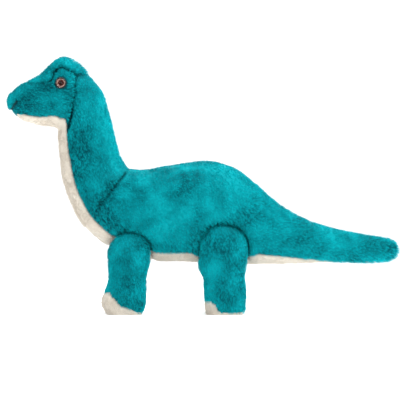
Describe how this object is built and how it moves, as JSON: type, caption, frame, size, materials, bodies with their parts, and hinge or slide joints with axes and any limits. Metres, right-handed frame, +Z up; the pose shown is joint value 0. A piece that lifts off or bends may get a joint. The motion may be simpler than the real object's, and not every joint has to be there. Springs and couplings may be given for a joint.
{
  "type": "stuffed dinosaur",
  "caption": "Stuffed long-neck dinosaur standing on sewn plush legs, with a pale belly strip, locking eyes and a bendable neck, head, tail and legs.",
  "frame": {"origin": "middle of the toy's footprint box, on the surface that the feet rest on", "axes": "+X towards the tail tip, -X towards the nose, +Z up, the animal's left side towards -Y"},
  "size_m": [0.427, 0.1136, 0.2824],
  "materials": {
    "teal_plush": "short brushed plush pile",
    "cream_plush": "short brushed plush pile",
    "stuffing": "loose white polyester fibre",
    "eye_black": "polished",
    "eye_print": "printed iris, glossy",
    "eye_clear": "clear polished plastic",
    "washer_plastic": "moulded",
    "thread": "twisted sewing thread"
  },
  "bodies": {
    "torso": {"torso_side_left": "teal_plush", "torso_side_right": "teal_plush", "belly_gusset": "cream_plush", "torso_stuffing": "stuffing"},
    "neck": {"neck_side_left": "teal_plush", "neck_side_right": "teal_plush", "throat_gusset": "cream_plush", "neck_stuffing": "stuffing"},
    "head": {"head_side_left": "teal_plush", "head_side_right": "teal_plush", "nape_side_left": "teal_plush", "nape_side_right": "teal_plush", "crown_gusset": "teal_plush", "chin_gusset": "cream_plush", "head_stuffing": "stuffing", "mouth_stitch": "thread", "eye_backing_left": "eye_black", "eye_backing_right": "eye_black", "eye_iris_left": "eye_print", "eye_iris_right": "eye_print", "eye_lens_left": "eye_clear", "eye_lens_right": "eye_clear", "eye_washer_left": "washer_plastic", "eye_washer_right": "washer_plastic"},
    "tail": {"tail_side_left": "teal_plush", "tail_side_right": "teal_plush", "under_tail_gusset": "cream_plush", "tail_stuffing": "stuffing"},
    "foreleg_left": {"foreleg_left_outer_panel": "teal_plush", "foreleg_left_inner_panel": "teal_plush", "foreleg_left_sole": "cream_plush", "foreleg_left_stuffing": "stuffing"},
    "foreleg_right": {"foreleg_right_outer_panel": "teal_plush", "foreleg_right_inner_panel": "teal_plush", "foreleg_right_sole": "cream_plush", "foreleg_right_stuffing": "stuffing"},
    "hindleg_left": {"hindleg_left_outer_panel": "teal_plush", "hindleg_left_inner_panel": "teal_plush", "hindleg_left_sole": "cream_plush", "hindleg_left_stuffing": "stuffing"},
    "hindleg_right": {"hindleg_right_outer_panel": "teal_plush", "hindleg_right_inner_panel": "teal_plush", "hindleg_right_sole": "cream_plush", "hindleg_right_stuffing": "stuffing"}
  },
  "joints": [
    {"name": "neck_bend", "type": "hinge", "parent": "torso", "child": "neck", "pos_m": [-0.1081, 0, 0.1414], "axis": [0, 1, 0], "range_deg": [-12, 12], "stiffness_Nm_per_rad": 1.2},
    {"name": "head_nod", "type": "hinge", "parent": "neck", "child": "head", "pos_m": [-0.13035, 0, 0.20575], "axis": [0, 1, 0], "range_deg": [-12, 12], "stiffness_Nm_per_rad": 0.8},
    {"name": "tail_wag", "type": "hinge", "parent": "torso", "child": "tail", "pos_m": [0.0957, 0, 0.085], "axis": [0, 0, 1], "range_deg": [-15, 15], "stiffness_Nm_per_rad": 0.5},
    {"name": "foreleg_left_swing", "type": "hinge", "parent": "torso", "child": "foreleg_left", "pos_m": [-0.07975, -0.0402, 0.066], "axis": [0, 1, 0], "range_deg": [-12, 12], "stiffness_Nm_per_rad": 0.8},
    {"name": "foreleg_right_swing", "type": "hinge", "parent": "torso", "child": "foreleg_right", "pos_m": [-0.07975, 0.0402, 0.066], "axis": [0, 1, 0], "range_deg": [-12, 12], "stiffness_Nm_per_rad": 0.8},
    {"name": "hindleg_left_swing", "type": "hinge", "parent": "torso", "child": "hindleg_left", "pos_m": [0.0235, -0.0402, 0.0715], "axis": [0, 1, 0], "range_deg": [-12, 12], "stiffness_Nm_per_rad": 0.8},
    {"name": "hindleg_right_swing", "type": "hinge", "parent": "torso", "child": "hindleg_right", "pos_m": [0.0235, 0.0402, 0.0715], "axis": [0, 1, 0], "range_deg": [-12, 12], "stiffness_Nm_per_rad": 0.8}
  ]
}
